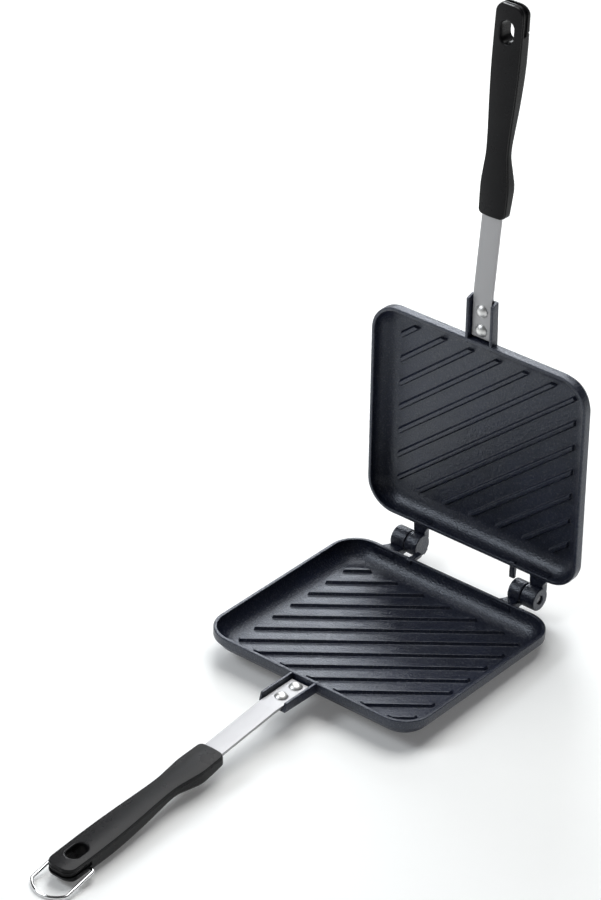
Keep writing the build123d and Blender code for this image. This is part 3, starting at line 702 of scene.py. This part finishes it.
def coated_casting(look):
    """Dark non-stick coat on cast aluminium: fine two-tone speckle, orange peel, rubbed edges, uneven
    sheen."""
    s = Shader("coated casting")
    own = s.own()
    cloud = s.noise(own, scale=24.0, detail=3.0, rough=0.55)
    peel = s.noise(own, scale=480.0, detail=2.0, rough=0.6)
    grain = s.noise(own, scale=1000.0, detail=2.0, rough=0.6)
    speck = grain.step(0.54, 0.66)
    pit = s.noise(own, scale=820.0, detail=1.0, rough=0.5).step(0.44, 0.34)
    on_rim = s.split(own, "Z").step(0.0132, 0.0141)
    rubbed = on_rim * s.noise(own, scale=320.0, detail=3.0, rough=0.6).step(0.42, 0.62)
    base = s.tint(cloud.step(0.3, 0.7), tuple(look.coat_dark), tuple(look.coat_light))
    base = s.tint(speck * 0.8, base, tuple(look.coat_speck))
    base = s.tint(pit * 0.6, base, COAT_PIT)
    base = s.tint(rubbed * 0.35, base, tuple(look.coat_speck))
    rough = cloud.mix(look.coat_rough - 0.05, look.coat_rough + 0.06) + speck * 0.1
    normal = s.bump(peel * 0.35 + grain * 0.65, distance=0.0006, strength=0.75)
    return s.finish(Base_Color=base, Roughness=rough, Normal=normal, Specular_IOR_Level=0.75,
                    Specular_Tint=COAT_SHINE)


def satin_strap(look):
    """Stainless strip, brushed along its length, with faint handling marks."""
    s = Shader("satin strap")
    own = s.own()
    brush = s.noise(own, scale=420.0, detail=4.0, rough=0.65, stretch=(7.0, 0.12, 1.0))
    smear = s.noise(own, scale=60.0, detail=2.0, rough=0.5)
    rough = brush.mix(look.strap_rough - 0.05, look.strap_rough + 0.09) + smear * 0.06
    base = s.tint(brush * 0.5 + smear * 0.5, scaled(look.strap_colour, 0.86), tuple(look.strap_colour))
    normal = s.bump(brush, distance=0.00003, strength=0.35)
    return s.finish(Base_Color=base, Roughness=rough, Normal=normal, Metallic=1.0)


def polished_steel(name, colour, roughness):
    """Polished steel with faint marks."""
    s = Shader(name)
    own = s.own()
    marks = s.noise(own, scale=900.0, detail=3.0, rough=0.55)
    cloud = s.noise(own, scale=140.0, detail=2.0, rough=0.5)
    rough = marks.mix(roughness - 0.04, roughness + 0.07)
    base = s.tint(marks * 0.5 + cloud * 0.5, scaled(colour, 0.88), colour)
    normal = s.bump(marks, distance=0.00001, strength=0.3)
    return s.finish(Base_Color=base, Roughness=rough, Normal=normal, Metallic=1.0)


def moulded_grip(look):
    """Heat-proof black moulding: fine spark-eroded grain, clouded tone, uneven sheen."""
    s = Shader("moulded grip")
    own = s.own()
    grain = s.noise(own, scale=1700.0, detail=2.0, rough=0.6)
    swirl = s.noise(own, scale=90.0, detail=3.0, rough=0.6)
    cloud = s.noise(own, scale=26.0, detail=2.0, rough=0.5)
    fleck = grain.step(0.62, 0.74)
    base = s.tint(cloud.step(0.3, 0.7), tuple(look.grip_dark), tuple(look.grip_light))
    base = s.tint(fleck * 0.35, base, GRIP_FLECK)
    rough = swirl.mix(look.grip_rough - 0.05, look.grip_rough + 0.07) + fleck * 0.05
    normal = s.bump(grain * 0.7 + swirl * 0.3, distance=0.0001, strength=0.5)
    return s.finish(Base_Color=base, Roughness=rough, Normal=normal, Specular_IOR_Level=0.14)


def colour_prop(label, words, value):
    """Colour property of the finishes."""
    return bpy.props.FloatVectorProperty(name=label, description=words, default=value, size=3,
                                         subtype="COLOR", min=0.0, max=1.0)


def share_prop(label, words, value):
    """Property from 0 to 1 of the finishes."""
    return bpy.props.FloatProperty(name=label, description=words, default=value, min=0.0, max=1.0,
                                   subtype="FACTOR")


class IronFinishes(bpy.types.PropertyGroup):
    """Colours and sheens of the iron's finishes."""
    coat_dark: colour_prop("Coat, dark", "Darker tone of the pans' coat", (0.003, 0.005, 0.015))
    coat_light: colour_prop("Coat, light", "Lighter tone of the pans' coat", (0.005, 0.008, 0.025))
    coat_speck: colour_prop("Coat, speck", "Fine specks in the coat", (0.055, 0.06, 0.072))
    coat_rough: share_prop("Coat roughness", "Roughness of the pans' coat", 0.33)
    strap_colour: colour_prop("Strap", "Satin steel of the straps", (0.5, 0.5, 0.51))
    strap_rough: share_prop("Strap roughness", "Roughness of the straps", 0.56)
    grip_dark: colour_prop("Grip, dark", "Darker tone of the grips", (0.005, 0.005, 0.006))
    grip_light: colour_prop("Grip, light", "Lighter tone of the grips", (0.010, 0.010, 0.011))
    grip_rough: share_prop("Grip roughness", "Roughness of the grips", 0.27)


# (prefix of the node's name, body, whether the piece lies on the lid)
HALVES = (("lower_", "base", False), ("upper_", "lid", True))


def piece(name, part, body, lid, material, sharp=SHARP_PLAIN):
    """Object for a CAD node from points in the lower half's millimetres, merged, closed and facing outward.
    The attribute own keeps those points, in metres, for the materials."""
    points, faces = part
    mesh = bpy.data.meshes.new(name + "_shape")
    mesh.from_pydata((onto_lid(points) if lid else points) * MM, [], faces)
    own = mesh.attributes.new("own", "FLOAT_VECTOR", "POINT")
    own.data.foreach_set("vector", (points * MM).astype(np.float32).ravel())
    work = bmesh.new()
    work.from_mesh(mesh)
    bmesh.ops.remove_doubles(work, verts=work.verts, dist=MERGE_M)
    bmesh.ops.dissolve_degenerate(work, edges=work.edges, dist=DEGENERATE_M)
    bmesh.ops.recalc_face_normals(work, faces=work.faces)
    work.to_mesh(mesh)
    work.free()
    mesh.shade_smooth()
    mesh.set_sharp_from_angle(angle=math.radians(sharp))
    mesh.materials.append(material)
    thing = bpy.data.objects.new(name + "_shape", mesh)
    bpy.context.scene.collection.objects.link(thing)
    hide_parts(name)
    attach(thing, body)


def both_halves(name, part, material, sharp=SHARP_PLAIN):
    """The same piece on the lower half and on the lid."""
    for prefix, body, lid in HALVES:
        piece(prefix + name, part, body, lid, material, sharp)


class IRON_OT_castings(bpy.types.Operator):
    """Make both ribbed pans with their hinge knuckles and strap sockets"""
    bl_idname = "iron.castings"
    bl_label = "Castings"

    def execute(self, context):
        part = joined([skin(pan_rings()), *rib_parts(), *hinge_parts(), socket_part()])
        both_halves("plate", part, coated_casting(context.scene.iron_finishes))
        return {"FINISHED"}


class IRON_OT_metalwork(bpy.types.Operator):
    """Make the straps, rivets and hinge pins"""
    bl_idname = "iron.metalwork"
    bl_label = "Straps, rivets and pins"

    def execute(self, context):
        both_halves("strap", strap_part(), satin_strap(context.scene.iron_finishes), SHARP_STRAP)
        steel = polished_steel("rivet steel", *RIVET_STEEL)
        for name, out in RIVET_PLACES.items():
            both_halves(name + "_rivet", rivet_part(out), steel)
        both_halves("hinge_pin", pin_part(), polished_steel("pin steel", *PIN_STEEL))
        return {"FINISHED"}


class IRON_OT_grips(bpy.types.Operator):
    """Make the two moulded grips and the wire bail"""
    bl_idname = "iron.grips"
    bl_label = "Grips and bail"

    def execute(self, context):
        both_halves("grip", grip_part(), moulded_grip(context.scene.iron_finishes), SHARP_GRIP)
        piece("wire_bail", bail_part(), "bail", False, polished_steel("bail wire", *WIRE_STEEL))
        return {"FINISHED"}


# The iron rests on its lower grip's end and on the base's back edge, so the floor is tilted under it
REST_TILT = math.radians(2.4)
REST_EDGE_Y = 0.056
FLOOR_HALF = 25.0
FLOOR_DARK, FLOOR_PALE = (0.85, 0.86, 0.85), (0.87, 0.88, 0.87)
FLOOR_ROUGH, FLOOR_GLOW = 0.6, 0.12
FLOOR_FADE = 0.45, 1.1         # metres from the object, over which the floor turns into the pale room
WHITE = (1.0, 1.0, 1.0, 1.0)
ROOM_LIGHT, ROOM_SEEN = 0.07, 1.0
# (name, place, aim, size, watts, colour): soft light from behind, its window in the lower pan's floor, the
# light in the grips' crowns, and the light in the walls by the hinge
LAMPS = (
    ("key", (-0.2, 0.6, 1.8), (0, 0, 0.0), (1.3, 1.3), 30.0, (1.0, 1.0, 1.0)),
    ("window", (-0.78, 0.97, 0.83), (-0.03, 0, 0), (0.5, 0.42), 7.5, (0.94, 0.97, 1.0)),
    ("left", (-1.1, 0.75, 0.55), (0, -0.2, 0.0), (0.25, 0.5), 0.9, (1.0, 1.0, 1.0)),
    ("front", (-1.1, -1.05, 1.4), (0, 0.05, 0.05), (0.7, 0.7), 14.0, (0.92, 0.96, 1.0)),
)


def floor_height(y):
    """Height of the floor under this y: it falls away towards the handle that props the iron."""
    return -(REST_EDGE_Y - y) * math.tan(REST_TILT)


def area_light(name, place, aim, size, power, colour):
    """Rectangular lamp at a place, facing its aim."""
    lamp = bpy.data.lights.new(name, "AREA")
    lamp.shape = "RECTANGLE"
    lamp.size, lamp.size_y = size
    lamp.energy = power
    lamp.color = colour
    thing = bpy.data.objects.new(name, lamp)
    bpy.context.scene.collection.objects.link(thing)
    thing.location = place
    thing.rotation_mode = "QUATERNION"
    thing.rotation_quaternion = (Vector(aim) - Vector(place)).to_track_quat("-Z", "Y")


class IRON_OT_stage(bpy.types.Operator):
    """Lay the pale floor, hang the lights and set the camera"""
    bl_idname = "iron.stage"
    bl_label = "Stage"

    def execute(self, context):
        self.floor()
        self.world(context.scene)
        for lamp in LAMPS:
            area_light(*lamp)
        self.camera(context.scene)
        context.scene.view_settings.view_transform = "Standard"
        return {"FINISHED"}

    def floor(self):
        """Tilted pale floor that turns into the room's white far from the object."""
        sides = ((-1, -1), (1, -1), (1, 1), (-1, 1))
        corners = [(x * FLOOR_HALF, y * FLOOR_HALF, floor_height(y * FLOOR_HALF)) for x, y in sides]
        mesh = bpy.data.meshes.new("floor")
        mesh.from_pydata(corners, [], [(0, 1, 2, 3)])
        thing = bpy.data.objects.new("floor", mesh)
        bpy.context.scene.collection.objects.link(thing)
        s = Shader("pale floor")
        place = s.add("ShaderNodeTexCoord", output="Object")
        grain = s.noise(place, scale=60.0, detail=3.0, rough=0.6)
        lit = s.add("ShaderNodeBsdfPrincipled", None, {
            "Base Color": s.tint(grain, FLOOR_DARK, FLOOR_PALE), "Roughness": FLOOR_ROUGH,
            "Emission Color": WHITE, "Emission Strength": FLOOR_GLOW})
        far = s.add("ShaderNodeEmission", None, {"Color": WHITE, "Strength": 1.0})
        away = s.add("ShaderNodeVectorMath", {"operation": "LENGTH"}, [place], output="Value")
        both = s.add("ShaderNodeMixShader", None, [away.step(*FLOOR_FADE), lit, far])
        s.add("ShaderNodeOutputMaterial", None, {"Surface": both})
        mesh.materials.append(s.material)

    def world(self, scene):
        """White room that is seen at full strength and lights the object faintly."""
        world = bpy.data.worlds.new("pale room")
        world.use_nodes = True
        s = Shader("pale room", world.node_tree)
        seen = s.add("ShaderNodeLightPath", output="Is Camera Ray")
        room = s.add("ShaderNodeBackground", None,
                     {"Color": WHITE, "Strength": seen.mix(ROOM_LIGHT, ROOM_SEEN)})
        s.add("ShaderNodeOutputWorld", None, {"Surface": room})
        scene.world = world

    def camera(self, scene):
        """Camera at the photo's place and angle."""
        lens = bpy.data.cameras.new("photo camera")
        lens.sensor_fit = "AUTO"
        lens.sensor_width = SENSOR_MM
        lens.lens = CAMERA_FOCAL_PX * SENSOR_MM / PHOTO_H
        lens.clip_end = CAMERA_REACH
        thing = bpy.data.objects.new("photo camera", lens)
        scene.collection.objects.link(thing)
        back, right = Vector(CAMERA_BACK), Vector(CAMERA_RIGHT)
        turn = Matrix((right, back.cross(right), back)).transposed().to_4x4()
        thing.matrix_world = Matrix.Translation(CAMERA_PLACE) @ turn
        scene.camera = thing


class IRON_PT_panel(bpy.types.Panel):
    """Sandwich iron"""
    bl_label = "Sandwich iron"
    bl_idname = "IRON_PT_panel"
    bl_space_type = "VIEW_3D"
    bl_region_type = "UI"
    bl_category = "Sandwich iron"

    def draw(self, context):
        for step in STEPS:
            self.layout.operator(step.bl_idname)
        look = context.scene.iron_finishes
        for name in IronFinishes.__annotations__:
            self.layout.prop(look, name)


STEPS = (IRON_OT_castings, IRON_OT_metalwork, IRON_OT_grips, IRON_OT_stage)
CLASSES = (IronFinishes, *STEPS, IRON_PT_panel)


def register():
    for item in CLASSES:
        bpy.utils.register_class(item)
    bpy.types.Scene.iron_finishes = bpy.props.PointerProperty(type=IronFinishes)


def unregister():
    del bpy.types.Scene.iron_finishes
    for item in reversed(CLASSES):
        bpy.utils.unregister_class(item)


def main():
    register()
    for step in STEPS:
        group, name = step.bl_idname.split(".")
        getattr(getattr(bpy.ops, group), name)()


if __name__ == "__main__":
    main()
